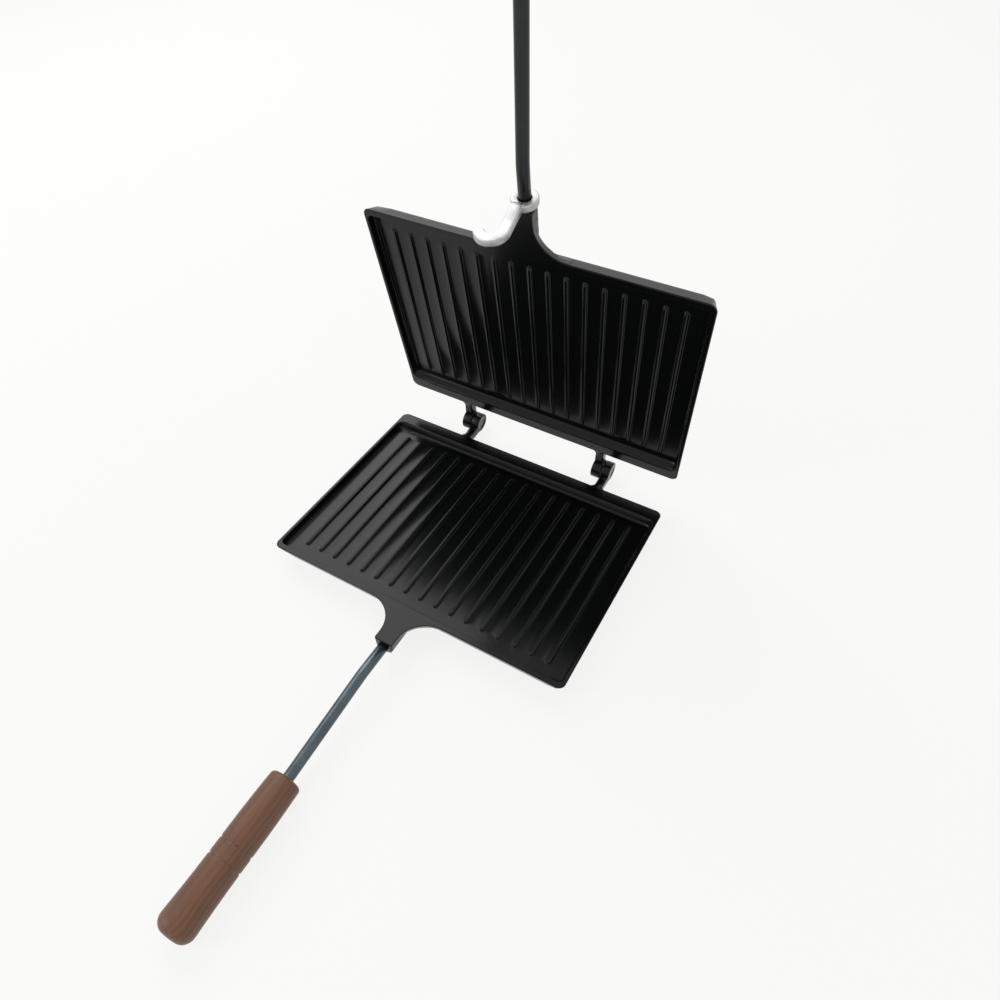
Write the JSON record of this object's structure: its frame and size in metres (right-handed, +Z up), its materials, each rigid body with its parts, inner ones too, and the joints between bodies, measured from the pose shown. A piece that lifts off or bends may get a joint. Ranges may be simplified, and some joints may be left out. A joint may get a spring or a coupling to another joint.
{
  "type": "pie iron",
  "caption": "Hinged ribbed cooking plates with wooden-gripped rods and a hook that holds them shut over a fire or a hob.",
  "frame": {"origin": "middle of the footprint, on the surface that the iron rests on", "axes": "+Z up, -Y towards the lower grip, +X along the hinge pins, to the right as seen from the grips"},
  "size_m": [0.25, 0.4635, 0.4586],
  "materials": {
    "coated_casting": "cast aluminium with a black non-stick coating, satin",
    "rod_steel": "round steel bar, dull grey",
    "pin_steel": "dull steel",
    "grip_wood": "turned hardwood, stained reddish brown, satin varnish",
    "bare_casting": "bare cast aluminium, tumbled bright"
  },
  "bodies": {
    "lower_half": {"lower_plate": "coated_casting", "hinge_pin_left": "pin_steel", "hinge_pin_right": "pin_steel", "lower_rod": "rod_steel", "lower_rod_pin": "pin_steel", "lower_grip": "grip_wood"},
    "upper_half": {"upper_plate": "coated_casting", "upper_rod": "rod_steel", "upper_rod_pin": "pin_steel", "upper_grip": "grip_wood"},
    "hook": {"latch_hook": "bare_casting"}
  },
  "joints": [
    {"name": "lid_hinge", "type": "hinge", "parent": "lower_half", "child": "upper_half", "pos_m": [0, 0.22323, 0.01011], "axis": [-1, 0, 0], "range_deg": [-74.5, 90]},
    {"name": "hook_swing", "type": "hinge", "parent": "upper_half", "child": "hook", "pos_m": [0, 0.17575, 0.24883], "axis": [0, -0.2216, 0.9751], "range_deg": [-90, 74.5]}
  ],
  "couplings": [
    {"joint": "hook_swing", "follows": "lid_hinge", "ratio": -1}
  ]
}
